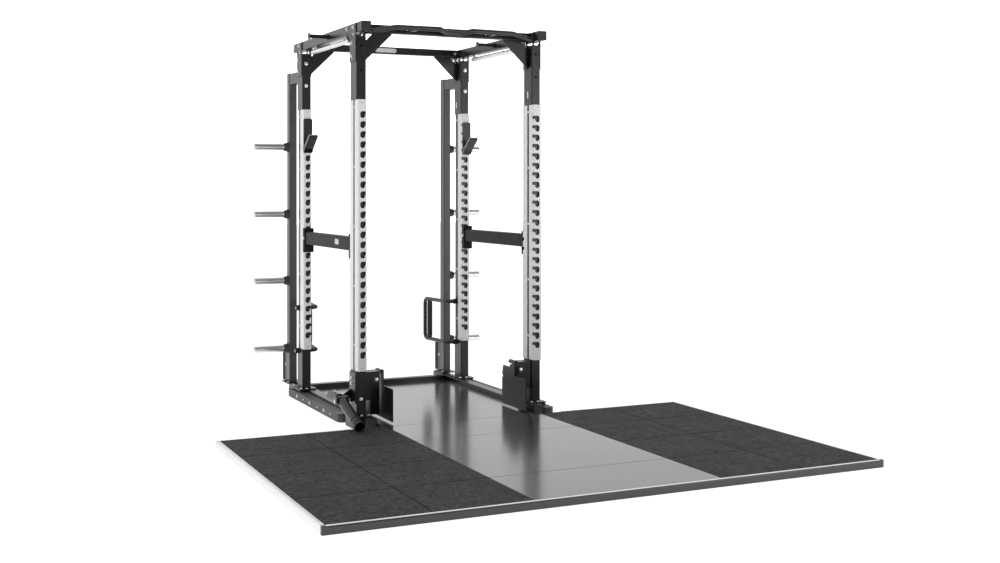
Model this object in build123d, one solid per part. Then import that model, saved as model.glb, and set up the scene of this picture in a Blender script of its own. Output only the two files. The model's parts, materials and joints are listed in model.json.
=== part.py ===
from build123d import *
import os

# Power rack with a lifting platform. Millimetres, +Z up.
# While it is drawn, X = 0 is the centreline, Y = 0 the front edge of the flooring (+Y runs to the rear)
# and Z = 0 the floor. save() moves every node back so that Y = 0 is the middle of the whole object.

# Platform
TILE = 500
TILE_JOINT = 3
TILE_CHAMFER = 2.5
WOOD_HALF = 520
DECK_DEPTH = 1972
DECK_TOP = 40
BOARD_TOP = 20
PROFILE = 20
PLATFORM_HALF = WOOD_HALF + 2 * TILE
PANEL_SEAMS = [0, 500, 1500, 1972, 3538]
PANEL_JOINT = 2.4
PANEL_CHAMFER = 1.2

# Rack columns
COLUMN_X = 600
FRONT_Y = 2188
REAR_Y = 3345
COLUMN_DEPTH = 118
BOOT_WIDTH = 62
CORE_WIDTH = 48
COLUMN_WALL = 4
COLUMN_BOTTOM = 78
CHANNEL_BOTTOM = 350
CHANNEL_TOP = 2015
COLUMN_TOP = 2400
HOLE_RADIUS = 6.5
HOLE_HEIGHTS = [2195, 2346]

# Perforated channels and their J-slots
CHANNEL_WIDTH = 56
CHANNEL_WALL = 4
CHANNEL_PROUD = 22
FRONT_FLANGE = 67
REAR_FLANGE = 82
SLOT_COUNT = 25
SLOT_PITCH = 61.4
SLOT_FIRST = 427
SLOT_WIDTH = 31
SLOT_HEIGHT = 42
SLOT_BRANCH = 21
SLOT_WRAP = 22
LOBE_OFFSET = 1

# Pins that hang in the J-slots
PIN_RADIUS = 9
PIN_REST = PIN_RADIUS + 0.3
PIN_REACH = 12
PIN_GROOVE = 26
GROOVE_DEPTH = 10
CLEAR = 0.5

# Top frame
BEAM_BOTTOM = 2428
BEAM_TOP = 2488
BEAM_FRONT = 2100
BEAM_REAR = 3560
PLATE = 6
CROSS_HALF = COLUMN_X - BOOT_WIDTH / 2 - PLATE
GRIP_RADIUS = 15
GRIP_HEIGHT = 2400
CHIN_RADIUS = 16
CHIN_END = 2436
CLAMP_X = 270
CROSS_FRONT = 2216
CROSS_REAR = 3385
CROSS_LOW = 2434

# Base
BASE_INNER = 532
BASE_OUTER = 602
BASE_TOP = 70
BASE_FRONT = 2100
BASE_CAP = 14
BASE_REAR = 3785
STEP_WIDTH = 70
STEP_TOP = 55
STEP_REAR = 3540
STEP_FRONT_LEFT = 2410
STEP_FRONT_RIGHT = 2060

# Storage
POST_FRONT = 3677
POST_DEPTH = 71
POST_WIDTH = 55
POST_TOP = 2290
PEG_HEIGHTS = [317, 804, 1281, 1764]
PEG_RADIUS = 24
PEG_LENGTH = 252
COLLAR = 30
HOLDER_RADIUS = 33
HOLDER_BORE = 27
HOLDER_TOP = 280
HOLDER_Y = 3833

# Swinging bar socket (T-bar row pivot)
SOCKET_X = -720
SOCKET_Y = 2200
SOCKET_Z = 175
SOCKET_RADIUS = 31
SOCKET_BORE = 26
SOCKET_LENGTH = 346
SOCKET_MOUTH = 291
SOCKET_DROOP = 17.6
SHAFT_RADIUS = 15
BARREL_RADIUS = 35
EAR_INNER = 32.5
EAR_OUTER = 40.5

# Fold-down foot plates
HINGE_X = 462
HINGE_Z = 337
FOOT_PLATE_X = 449

OBJECT_FRONT = -PROFILE
OBJECT_REAR = HOLDER_Y + HOLDER_RADIUS
Y_CENTRE = (OBJECT_FRONT + OBJECT_REAR) / 2

os.makedirs("parts", exist_ok=True)


def save(name, *solids):
    """Writes one node: a single solid, or a group of separate solids."""
    moved = [Pos(0, -Y_CENTRE, 0) * solid for solid in solids]
    shape = moved[0] if len(moved) == 1 else Compound(children=moved)
    shape.label = name
    export_step(shape, f"parts/{name}.step")


def flip(solid):
    """The same solid on the other side of the centreline."""
    return mirror(solid, about=Plane.YZ)


def both(solids):
    """Each right-hand solid with its left-hand copy."""
    return list(solids) + [flip(solid) for solid in solids]


def block(x, y, z):
    """A box between the pairs x, y and z."""
    size = Box(x[1] - x[0], y[1] - y[0], z[1] - z[0])
    return Pos((x[0] + x[1]) / 2, (y[0] + y[1]) / 2, (z[0] + z[1]) / 2) * size


def section(width, height, radius, wall=0):
    """A rounded rectangle, or a tube's section when wall is given."""
    shape = RectangleRounded(width, height, radius)
    if wall:
        shape -= RectangleRounded(width - 2 * wall, height - 2 * wall, max(radius - wall, 0.6))
    return shape


def along_x(sketch, x, y=0, z=0):
    """Extrudes a sketch drawn as (Y, Z) between the two x values."""
    return extrude(Plane(origin=(x[0], y, z), x_dir=(0, 1, 0), z_dir=(1, 0, 0)) * sketch, x[1] - x[0])


def along_y(sketch, y, x=0, z=0):
    """Extrudes a sketch drawn as (X, Z) between the two y values."""
    return extrude(Plane(origin=(x, y[1], z), x_dir=(1, 0, 0), z_dir=(0, -1, 0)) * sketch, y[1] - y[0])


def along_z(sketch, z, x=0, y=0):
    """Extrudes a sketch drawn as (X, Y) between the two z values."""
    return Pos(x, y, z[0]) * extrude(sketch, z[1] - z[0])


def outline(*points):
    """A flat face through the points."""
    return Polygon(*points, align=None)


def bolt_x(x, y, z, radius=9, height=6):
    """A hexagon bolt head on a face that looks along X; a negative height points to -X."""
    ends = (min(x, x + height), max(x, x + height))
    return along_x(RegularPolygon(radius, 6), ends, y, z)


def bolt_y(x, y, z, radius=9, height=6):
    """A hexagon bolt head standing in front of a face that looks to -Y."""
    return along_y(RegularPolygon(radius, 6), (y - height, y), x, z)


def bolt_z(x, y, z, radius=9, height=6):
    """A hexagon bolt head standing on a level face."""
    return along_z(RegularPolygon(radius, 6), (z, z + height), x, y)


# ---------------------------------------------------------------- platform
def deck_board():
    front = block((-PLATFORM_HALF, PLATFORM_HALF), (0, DECK_DEPTH), (0, BOARD_TOP))
    rack = block((-BASE_INNER + 2, BASE_INNER - 2), (DECK_DEPTH + 1, PANEL_SEAMS[-1]), (0, BOARD_TOP))
    return front, rack


def wood_panels():
    panels = []
    for start, end in zip(PANEL_SEAMS, PANEL_SEAMS[1:]):
        half = (WOOD_HALF if end <= DECK_DEPTH else BASE_INNER - 2) - PANEL_JOINT / 2
        y_pair = (start + PANEL_JOINT / 2, end - PANEL_JOINT / 2)
        panel = block((-half, half), y_pair, (BOARD_TOP, DECK_TOP))
        panels.append(chamfer(panel.edges().group_by(Axis.Z)[-1], PANEL_CHAMFER))
    return panels


def rubber_tiles():
    tiles = []
    for column in range(2):
        for row in range(4):
            x = WOOD_HALF + column * TILE
            y = row * TILE
            gap = TILE_JOINT / 2
            x_pair = (x + gap, x + TILE - gap)
            y_pair = (y + gap, min(y + TILE, DECK_DEPTH) - gap)
            tile = block(x_pair, y_pair, (BOARD_TOP, DECK_TOP))
            tiles.append(chamfer(tile.edges().group_by(Axis.Z)[-1], TILE_CHAMFER))
    return tiles


def profile_section():
    """Edge profile: a flat outer face, a rounded top lip and a hollow chamber; drawn from its inner face."""
    lip = [(PROFILE, 32), (PROFILE - 3, 38), (PROFILE - 7, DECK_TOP)]
    outer = outline((0, 0), (PROFILE, 0), *lip, (0, DECK_TOP))
    return outer - Pos(9, 16) * RectangleRounded(10, 22, 1.5)


def front_profile():
    mirrored = mirror(profile_section(), about=Plane.YZ)
    return along_x(mirrored, (-PLATFORM_HALF, PLATFORM_HALF))


def side_profile():
    return along_y(profile_section(), (0, DECK_DEPTH + PROFILE), PLATFORM_HALF)


def rear_profile():
    return along_x(profile_section(), (BASE_OUTER + STEP_WIDTH + 8, PLATFORM_HALF - 1), DECK_DEPTH)


def corner_cap():
    """Cap that closes the corner between the front and side profiles, with its screw hole."""
    edge = PLATFORM_HALF + PROFILE
    cap = block((PLATFORM_HALF, edge), (-PROFILE, 0), (0, DECK_TOP))
    cap = fillet(cap.edges().filter_by(Axis.Z).sort_by(Axis.Y)[:2].sort_by(Axis.X)[-1], 5)
    return cap - along_x(Circle(3.5), (edge - 3, edge + 1), -10, DECK_TOP / 2)


# ---------------------------------------------------------------- base
def base_beam():
    middle = (BASE_INNER + BASE_OUTER) / 2
    tube = section(BASE_OUTER - BASE_INNER, BASE_TOP, 5, 4)
    return along_y(tube, (BASE_FRONT, BASE_REAR), middle, BASE_TOP / 2)


def rear_base_beam():
    tube = section(70, BASE_TOP, 5, 4)
    return along_x(tube, (-BASE_INNER, BASE_INNER), 3575, BASE_TOP / 2)


def step_plate(front):
    """Ribbed step along the outside of the base, with a round nose."""
    x = BASE_OUTER + STEP_WIDTH / 2
    nose = STEP_WIDTH / 2
    body = block((BASE_OUTER, BASE_OUTER + STEP_WIDTH), (front + nose, STEP_REAR), (0, STEP_TOP))
    body += along_z(Circle(nose), (0, STEP_TOP), x, front + nose)
    grooves = []
    for rib in range(6):
        groove_x = BASE_OUTER + 9 + rib * 10
        y_pair = (front + 2 * nose, STEP_REAR + 1)
        grooves.append(block((groove_x, groove_x + 3.5), y_pair, (STEP_TOP - 3, STEP_TOP + 1)))
    return body - grooves


def column_foot(y):
    """Foot plate on the base beam, with a packer down to the step beside it."""
    middle = y + COLUMN_DEPTH / 2
    plate = block((COLUMN_X - 60, COLUMN_X + 60), (middle - 95, middle + 95), (BASE_TOP, COLUMN_BOTTOM))
    plate = fillet(plate.edges().filter_by(Axis.Z), 8)
    return plate + block((BASE_OUTER + 2, COLUMN_X + 55), (middle - 85, middle + 85), (STEP_TOP, BASE_TOP))


def front_left_foot():
    """The front-left foot stands ahead of the step, so its packer reaches the floor."""
    middle = FRONT_Y + COLUMN_DEPTH / 2
    packer = block((BASE_OUTER + 2, COLUMN_X + 55), (middle - 85, middle + 85), (0, BASE_TOP))
    return flip(column_foot(FRONT_Y) + packer)


def post_foot():
    return block((COLUMN_X - 60, COLUMN_X + 55), (POST_FRONT - 37, BASE_REAR), (BASE_TOP, COLUMN_BOTTOM))


# ---------------------------------------------------------------- columns
def slot_backing(y, towards):
    """Solid strip that closes the gap behind a channel's web, with a groove that keeps its pins free."""
    web = towards * (CHANNEL_PROUD - CHANNEL_WALL)
    strip_x = (COLUMN_X - CORE_WIDTH / 2, COLUMN_X + CORE_WIDTH / 2)
    strip = block(strip_x, sorted((y - towards * 3, y + web)), (CHANNEL_BOTTOM, CHANNEL_TOP))
    groove_x = (COLUMN_X - LOBE_OFFSET - PIN_GROOVE / 2, COLUMN_X - LOBE_OFFSET + PIN_GROOVE / 2)
    groove_y = sorted((y + web - towards * GROOVE_DEPTH, y + web + towards))
    return strip - block(groove_x, groove_y, (CHANNEL_BOTTOM - 1, CHANNEL_TOP + 1))


def column(y, front):
    """Column body: wide at the foot and the head, and narrower where its channels wrap around it."""
    middle = y + COLUMN_DEPTH / 2
    boot = section(BOOT_WIDTH, COLUMN_DEPTH, 5)
    core = section(CORE_WIDTH, COLUMN_DEPTH, 2)
    body = along_z(core, (COLUMN_BOTTOM, COLUMN_TOP), COLUMN_X, middle)
    body += along_z(boot, (COLUMN_BOTTOM, CHANNEL_BOTTOM), COLUMN_X, middle)
    body += along_z(boot, (CHANNEL_TOP, COLUMN_TOP), COLUMN_X, middle)
    bore = section(CORE_WIDTH - 2 * COLUMN_WALL, COLUMN_DEPTH - 2 * COLUMN_WALL, 2)
    body -= along_z(bore, (COLUMN_BOTTOM - 1, COLUMN_TOP + 1), COLUMN_X, middle)
    body += slot_backing(y, -1)
    if front:
        body += slot_backing(y + COLUMN_DEPTH, 1)
        for height in HOLE_HEIGHTS:
            body -= along_y(Circle(HOLE_RADIUS), (y - 1, y + 8), COLUMN_X, height)
    return body


def channel(flange):
    """Perforated C-channel, drawn facing -Y with its web at Y = 0 and the rack's centre towards -X."""
    outer = Pos(0, flange / 2) * Rectangle(CHANNEL_WIDTH, flange)
    outer = fillet(outer.vertices().group_by(Axis.Y)[0], 6)
    inside = CHANNEL_WIDTH - 2 * CHANNEL_WALL
    face = outer - Pos(0, flange / 2 + CHANNEL_WALL) * Rectangle(inside, flange)
    body = along_z(face, (CHANNEL_BOTTOM, CHANNEL_TOP))
    lobe_x = -LOBE_OFFSET
    cuts = []
    for index in range(SLOT_COUNT):
        low = SLOT_FIRST + index * SLOT_PITCH
        high = low + SLOT_HEIGHT
        lobe = Rot(0, 0, 90) * SlotOverall(SLOT_HEIGHT, SLOT_WIDTH)
        cuts.append(along_y(lobe, (-1, 8), lobe_x, (low + high) / 2))
        branch = (-CHANNEL_WIDTH / 2 - 1, lobe_x)
        cuts.append(block(branch, (-1, SLOT_WRAP), (high - SLOT_BRANCH, high)))
    return body - cuts


def channels_at(y, flange, with_rear):
    front = channel(flange)
    placed = [Pos(COLUMN_X, y - CHANNEL_PROUD, 0) * front]
    if with_rear:
        back = mirror(front, about=Plane.XZ)
        placed.append(Pos(COLUMN_X, y + COLUMN_DEPTH + CHANNEL_PROUD, 0) * back)
    return placed


def channel_clips(middle):
    """Clips with button screws that hold the channel's flanges, and the screws of its web."""
    half = CHANNEL_WIDTH / 2
    clips = []
    for index in range(5):
        z = 505 + index * 366
        for side in (-1, 1):
            face = COLUMN_X + side * half
            plate = sorted((face, face + side * 3))
            head = sorted((face, face + side * 6))
            clip = block(plate, (middle - 17, middle + 17), (z - 7, z + 7))
            clips.append(clip + along_x(Circle(6), head, middle, z))
    return clips


def web_screws(web):
    """Screws at the ends of a channel's web, whose outer face looks to -Y."""
    ends = (CHANNEL_BOTTOM + 20, CHANNEL_TOP - 20)
    return [along_y(Circle(4.5), (web - 3, web), COLUMN_X + 5, z) for z in ends]


def oblong_insert(y):
    """Pale oblong plug in the column's inner face."""
    face = COLUMN_X - BOOT_WIDTH / 2
    return along_x(Rot(0, 0, 90) * SlotOverall(45, 12), (face - 2, face), y, 2082)


# ---------------------------------------------------------------- top frame
def side_beam():
    middle = (BEAM_BOTTOM + BEAM_TOP) / 2
    tube = section(BOOT_WIDTH, BEAM_TOP - BEAM_BOTTOM, 5, 4)
    return along_y(tube, (BEAM_FRONT, BEAM_REAR), COLUMN_X, middle)


def beam_caps():
    """Plugs at the open ends of the side beam and of the base beam below it."""
    middle = (BEAM_BOTTOM + BEAM_TOP) / 2
    face = section(BOOT_WIDTH, BEAM_TOP - BEAM_BOTTOM, 5)
    base_x = (BASE_INNER + BASE_OUTER) / 2
    base_face = section(BASE_OUTER - BASE_INNER, BASE_TOP, 5)
    base_cap = along_y(base_face, (BASE_FRONT - BASE_CAP, BASE_FRONT), base_x, BASE_TOP / 2)
    return [
        fillet(base_cap.edges().group_by(Axis.Y)[0], 4),
        along_y(face, (BEAM_FRONT - 5, BEAM_FRONT), COLUMN_X, middle),
        along_y(face, (BEAM_REAR, BEAM_REAR + 5), COLUMN_X, middle),
    ]


def corner_plate(x, column_y, beam_y, beam_low):
    """Side plate that ties a column to the beam above it, with a triangular window in between."""
    plate = block(x, column_y, (2250, 2484)) + block(x, beam_y, (beam_low, 2484))
    front, rear = column_y
    window = outline((front + 8, 2426), ((front + rear) / 2, 2400), (rear - 8, 2426))
    return plate - along_x(window, (x[0] - 1, x[1] + 1))


def corner_plates():
    outer = (COLUMN_X + BOOT_WIDTH / 2, COLUMN_X + BOOT_WIDTH / 2 + PLATE)
    inner = (CROSS_HALF, CROSS_HALF + PLATE)
    return [
        corner_plate(outer, (2192, 2302), (2192, 2400), CROSS_LOW),
        corner_plate(inner, (2246, 2302), (2150, 2400), CHIN_END - CHIN_RADIUS - 2),
        corner_plate(outer, (3350, 3459), (3350, 3550), CROSS_LOW),
        corner_plate(inner, (3350, 3459), (3350, 3550), CROSS_LOW),
    ]


def crossbeam(y, low, high):
    tube = section(50, high - low, 4, 4)
    return along_x(tube, (-CROSS_HALF, CROSS_HALF), y + 25, (low + high) / 2)


def gusset(y):
    """Corner brace with a triangular window and a flange against the column's side plate."""
    edge = CROSS_HALF
    face = outline(
        (edge, CROSS_LOW),
        (edge - 178, CROSS_LOW),
        (edge - 178, CROSS_LOW - 8),
        (edge - 8, CROSS_LOW - 172),
        (edge, CROSS_LOW - 172),
    )
    face -= outline((edge - 9, CROSS_LOW - 8), (edge - 50, CROSS_LOW - 8), (edge - 9, CROSS_LOW - 50))
    flange = block((edge - 8, edge), (y, y + 50), (CROSS_LOW - 172, CROSS_LOW - 54))
    return along_y(face, (y, y + 8)) + flange


def chin_up_sweep(section_face):
    """A face swept along the bent bar."""
    half = [
        (CROSS_HALF, 2172, CHIN_END),
        (CROSS_HALF - 23, 2172, CHIN_END),
        (400, 2120, 2462),
        (110, 2105, 2462),
        (45, 2150, 2448),
    ]
    points = half + [(-x, y, z) for x, y, z in reversed(half)]
    path = FilletPolyline(*points, radius=26)
    return sweep(Plane(origin=path @ 0, z_dir=path % 0) * section_face, path=path)


def chin_up_bar():
    return chin_up_sweep(Circle(CHIN_RADIUS) - Circle(CHIN_RADIUS - 3))


def chin_clamp():
    """Arm and flange that tie the chin-up bar to the front crossbeam."""
    arm = block((CLAMP_X - 13, CLAMP_X + 13), (2092, CROSS_FRONT - 8), (2446, 2478))
    arm -= chin_up_sweep(Circle(CHIN_RADIUS + 0.05))
    solids = arm.solids()
    arm = solids.sort_by(Axis.Y)[-1] if len(solids) > 1 else arm
    return arm + block((CLAMP_X - 29, CLAMP_X + 29), (CROSS_FRONT - 8, CROSS_FRONT), (2441, 2483))


def side_grip_bar():
    body = along_y(Circle(GRIP_RADIUS), (2420, 3200), COLUMN_X, GRIP_HEIGHT)
    body = fillet(body.edges().filter_by(GeomType.CIRCLE), 6)
    for y in (2450, 3140):
        body += block((COLUMN_X - 10, COLUMN_X + 10), (y, y + 30), (GRIP_HEIGHT, BEAM_BOTTOM))
    return body


def band_peg():
    """Peg through the side beam's height, with a washer at the beam and an end flange."""
    outer = COLUMN_X + BOOT_WIDTH / 2
    peg = along_x(Circle(13), (outer, outer + 123), 2770, 2458)
    peg += along_x(Circle(19), (outer, outer + 4), 2770, 2458)
    return peg + along_x(Circle(22.5), (outer + 123, outer + 129), 2770, 2458)


def band_pegs():
    outside = band_peg()
    return [outside, mirror(outside, about=Plane.YZ.offset(COLUMN_X))]


# ---------------------------------------------------------------- storage
def storage_post():
    tube = section(POST_WIDTH, POST_DEPTH, 5, 4)
    return along_z(tube, (COLUMN_BOTTOM, POST_TOP), COLUMN_X, POST_FRONT + POST_DEPTH / 2)


def storage_arm():
    rear = REAR_Y + COLUMN_DEPTH
    plate = block((COLUMN_X - 27.5, COLUMN_X + 27.5), (rear, rear + 8), (2150, 2350))
    return plate + along_y(section(POST_WIDTH, 80, 5, 4), (rear + 8, POST_FRONT), COLUMN_X, POST_TOP - 40)


POST_SIDE = COLUMN_X + POST_WIDTH / 2
POST_Y = POST_FRONT + POST_DEPTH / 2


def plate_pegs():
    pegs = []
    for z in PEG_HEIGHTS:
        peg = along_x(Circle(PEG_RADIUS), (POST_SIDE + COLLAR, POST_SIDE + PEG_LENGTH), POST_Y, z)
        pegs.append(fillet(peg.edges().group_by(Axis.X)[-1], 8))
    return pegs


def peg_collars():
    collars = []
    for z in PEG_HEIGHTS:
        collars.append(Pos(POST_SIDE + COLLAR / 2, POST_Y, z) * Rot(0, 90, 0) * Cone(37.5, 27, COLLAR))
    return collars


def bar_holder():
    """Upright socket for a bar's end, on a spacer bolted behind the post."""
    rear = POST_FRONT + POST_DEPTH
    z_pair = (COLUMN_BOTTOM, HOLDER_TOP)
    body = block((COLUMN_X - 24, COLUMN_X + 24), (rear, HOLDER_Y), z_pair)
    body += along_z(Circle(HOLDER_RADIUS), z_pair, COLUMN_X, HOLDER_Y)
    return body - along_z(Circle(HOLDER_BORE), (COLUMN_BOTTOM + 6, HOLDER_TOP + 1), COLUMN_X, HOLDER_Y)


HANDLE_LOW = 330
HANDLE_HIGH = 630
HANDLE_Y = 3445


def grab_handle():
    """D-shaped handle behind the column's inner side, with an upright grip bar inside the loop."""
    core = COLUMN_X - CORE_WIDTH / 2
    boot = COLUMN_X - BOOT_WIDTH / 2
    points = [
        (core, HANDLE_Y, HANDLE_HIGH),
        (497, HANDLE_Y, HANDLE_HIGH),
        (462, 3780, HANDLE_HIGH),
        (462, 3780, HANDLE_LOW),
        (497, HANDLE_Y, HANDLE_LOW),
        (boot, HANDLE_Y, HANDLE_LOW),
    ]
    path = FilletPolyline(*points, radius=38)
    body = sweep(Plane(origin=path @ 0, z_dir=path % 0) * Circle(14), path=path)
    body += along_z(Circle(17), (HANDLE_LOW + 4, HANDLE_HIGH - 4), 470, 3706)
    body += along_x(Circle(19), (core - 22, core), HANDLE_Y, HANDLE_HIGH)
    return body + along_x(Circle(19), (boot - 18, boot), HANDLE_Y, HANDLE_LOW)


def handle_knobs():
    knobs = []
    for start, z in ((COLUMN_X + CORE_WIDTH / 2, HANDLE_HIGH), (COLUMN_X + BOOT_WIDTH / 2, HANDLE_LOW)):
        knob = along_x(Circle(19), (start, start + 24), HANDLE_Y, z)
        knobs.append(fillet(knob.edges().group_by(Axis.X)[-1], 6))
    return knobs


# ---------------------------------------------------------------- bar hooks and safeties
def slot_pin(index, web, inward):
    """Pin through a J-slot. web is the channel's outer face, inward the direction into the channel."""
    z = SLOT_FIRST + index * SLOT_PITCH + PIN_REST
    ends = sorted((web - inward * CLEAR, web + inward * PIN_REACH))
    return along_y(Circle(PIN_RADIUS), ends, COLUMN_X - LOBE_OFFSET, z)


HOOK_Y = REAR_Y - CHANNEL_PROUD


def j_hook():
    """Bar hook: a back plate and a lip that leans forward, hung on two pins."""
    back = HOOK_Y - CLEAR
    face = outline(
        (back, 1714),
        (back, 1950),
        (back - 15, 1950),
        (back - 15, 1775),
        (3292, 1757),
        (3184, 1832),
        (3177, 1822),
        (3282, 1742),
        (back - 18, 1714),
    )
    body = along_x(face, (COLUMN_X - 30, COLUMN_X + 31))
    body = fillet(body.edges().filter_by(Axis.Y).group_by(Axis.Z)[-1], 8)
    return body + slot_pin(22, HOOK_Y, 1) + slot_pin(24, HOOK_Y, 1)


def j_hook_liner():
    """Plastic wear strip on the lip."""
    face = outline((3292, 1757), (3294.3, 1760.3), (3186.3, 1835.3), (3184, 1832))
    return along_x(face, (COLUMN_X - 30, COLUMN_X + 31))


SAFETY_FRONT = FRONT_Y + COLUMN_DEPTH + CHANNEL_PROUD
SAFETY_LOW = 1082
SAFETY_HIGH = 1167
SAFETY_HALF = 27.5
SADDLE_LENGTH = 34


def safety_beam():
    tube = section(2 * SAFETY_HALF, SAFETY_HIGH - SAFETY_LOW, 5, 4)
    ends = (SAFETY_FRONT + CLEAR + 12, HOOK_Y - CLEAR - 8)
    return along_y(tube, ends, COLUMN_X, (SAFETY_LOW + SAFETY_HIGH) / 2)


def safety_brackets():
    """Front end plate and rear saddle, each with its two slot pins."""
    start = SAFETY_FRONT + CLEAR
    front = block((COLUMN_X - 30, COLUMN_X + 31), (start, start + 12), (1031, 1187))
    front = fillet(front.edges().filter_by(Axis.Y), 8)
    front += slot_pin(10, SAFETY_FRONT, -1) + slot_pin(12, SAFETY_FRONT, -1)
    end = HOOK_Y - CLEAR
    rear = block((COLUMN_X - 33, COLUMN_X + 34), (end - 8, end), (1027, 1192))
    rear += block((COLUMN_X - 33, COLUMN_X - SAFETY_HALF), (end - SADDLE_LENGTH, end - 8), (1060, SAFETY_HIGH))
    rear += block((COLUMN_X + SAFETY_HALF, COLUMN_X + 34), (end - SADDLE_LENGTH, end - 8), (1060, SAFETY_HIGH))
    rear += block((COLUMN_X - 33, COLUMN_X + 34), (end - SADDLE_LENGTH, end - 8), (1027, SAFETY_LOW))
    crown = block((COLUMN_X - 33, COLUMN_X + 34), (end - SADDLE_LENGTH, end - 8), (SAFETY_HIGH, 1192))
    rear += fillet(crown.edges().filter_by(Axis.X).group_by(Axis.Z)[-1], 8)
    rear += slot_pin(10, HOOK_Y, 1) + slot_pin(12, HOOK_Y, 1)
    return front, rear


# ---------------------------------------------------------------- fold-down foot plates
def hinge_block():
    """Bracket on the front column's inner side: an upright, its arm to the column, knuckle and hinge pin."""
    side = COLUMN_X - BOOT_WIDTH / 2
    body = block((478, 538), (2200, 2290), (75, 340))
    body += block((538, side), (2200, 2290), (164, 340))
    body += block((475, 478), (2246, 2290), (246, 340))
    body += along_y(Circle(13), (2246, 2290), HINGE_X, HINGE_Z)
    body += block((HINGE_X, 480), (2246, 2290), (HINGE_Z - 13, HINGE_Z + 3))
    return body + along_y(Circle(6), (2196, 2296), HINGE_X, HINGE_Z)


def foot_plate():
    """Notched plate that hangs beside the front column and swings up to the middle of the rack."""
    face = outline(
        (2035, 50),
        (2386, 50),
        (2386, 215),
        (2372, 230),
        (2386, 246),
        (2370, 302),
        (2270, 302),
        (2270, 318),
        (2245, 318),
        (2245, 346),
        (2200, 346),
        (2200, 250),
        (2035, 250),
    )
    body = along_x(face, (FOOT_PLATE_X, FOOT_PLATE_X + PLATE))
    body += along_y(Circle(13), (2200, 2245.5), HINGE_X, HINGE_Z)
    return body - along_y(Circle(6.15), (2190, 2310), HINGE_X, HINGE_Z)


# ---------------------------------------------------------------- swinging bar socket
def socket_bracket():
    """Arm from the front-left column that carries a level bearing barrel."""
    side = -COLUMN_X - BOOT_WIDTH / 2
    plate = block((side - 8, side), (2192, 2302), (150, 340))
    arm = block((SOCKET_X, side - 8), (2258, 2300), (SOCKET_Z - 21, SOCKET_Z + 22))
    web = along_y(outline((side - 8, 232), (-690, 197), (side - 8, 197)), (2275, 2283))
    barrel = along_y(Circle(BARREL_RADIUS), (2255, 2400), SOCKET_X, SOCKET_Z)
    return plate + arm + web + barrel - along_y(Circle(SHAFT_RADIUS + 0.1), (2250, 2410), SOCKET_X, SOCKET_Z)


def socket_head():
    """Swivel head: a shaft in the barrel and a fork for the socket's cross bolt."""
    body = along_y(Circle(SHAFT_RADIUS), (2243, 2412), SOCKET_X, SOCKET_Z)
    body += along_y(Circle(33), (2243, 2254), SOCKET_X, SOCKET_Z)
    body += along_y(RegularPolygon(24, 6), (2401, 2412), SOCKET_X, SOCKET_Z)
    for side in (-1, 1):
        ends = sorted((SOCKET_X + side * EAR_INNER, SOCKET_X + side * EAR_OUTER))
        body += along_x(Circle(24), ends, SOCKET_Y, SOCKET_Z)
        body += block(ends, (SOCKET_Y, 2254), (SOCKET_Z - 24, SOCKET_Z + 24))
    body += block((SOCKET_X - EAR_OUTER, SOCKET_X + EAR_OUTER), (2243, 2254), (SOCKET_Z - 24, SOCKET_Z + 24))
    return body - along_x(Circle(6), (SOCKET_X - 50, SOCKET_X + 50), SOCKET_Y, SOCKET_Z)


def socket_bolt():
    body = along_x(Circle(6), (SOCKET_X - EAR_OUTER, SOCKET_X + EAR_OUTER), SOCKET_Y, SOCKET_Z)
    for side in (-1, 1):
        ends = sorted((SOCKET_X + side * EAR_OUTER, SOCKET_X + side * (EAR_OUTER + 9)))
        body += along_x(RegularPolygon(12, 6), ends, SOCKET_Y, SOCKET_Z)
    return body


def socket_tube():
    """Open tube for a bar's end that pivots on the cross bolt and droops to just above the deck."""
    tube = along_y(Circle(SOCKET_RADIUS), (SOCKET_Y - SOCKET_LENGTH, SOCKET_Y - 20), SOCKET_X, SOCKET_Z)
    tube += along_x(Circle(28), (SOCKET_X - 31, SOCKET_X + 31), SOCKET_Y, SOCKET_Z)
    bore = (SOCKET_Y - SOCKET_LENGTH - 1, SOCKET_Y - SOCKET_LENGTH + SOCKET_MOUTH)
    tube -= along_y(Circle(SOCKET_BORE), bore, SOCKET_X, SOCKET_Z)
    tube -= along_x(Circle(6.15), (SOCKET_X - 40, SOCKET_X + 40), SOCKET_Y, SOCKET_Z)
    return tube.rotate(Axis((SOCKET_X, SOCKET_Y, SOCKET_Z), (1, 0, 0)), SOCKET_DROOP)


# ---------------------------------------------------------------- fasteners
def top_bolts():
    """Bolts of the corner plates, gussets, crossbeams and chin-up bar clamps on one side."""
    outer = COLUMN_X + BOOT_WIDTH / 2 + PLATE
    flange = CROSS_HALF - 8
    bolts = []
    for y, z in ((2257, 2286), (2257, 2366), (2232, 2462), (2353, 2462)):
        bolts.append(bolt_x(outer, y, z, 10, 7))
    for y, z in ((3425, 2286), (3425, 2366), (3403, 2462), (3519, 2462)):
        bolts.append(bolt_x(outer, y, z, 10, 7))
    for y, z in ((2353, 2462), (3500, 2462)):
        bolts.append(bolt_x(CROSS_HALF, y, z, 10, -7))
    for y in (2268, 3437):
        for z in (2287, 2362):
            bolts.append(bolt_x(flange, y, z, 9, -6))
    for z in (2181, 2335):
        bolts.append(bolt_y(COLUMN_X + 4, REAR_Y, z, 10, 7))
    for x in (CLAMP_X - 21, CLAMP_X + 21):
        bolts.append(bolt_y(x, CROSS_FRONT - 8, 2462, 7, 5))
    bolts.append(bolt_y(CROSS_HALF - 23, CROSS_FRONT, 2459, 8, 6))
    bolts.append(bolt_y(CROSS_HALF - 23, CROSS_REAR, 2459, 8, 6))
    return bolts


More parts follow.
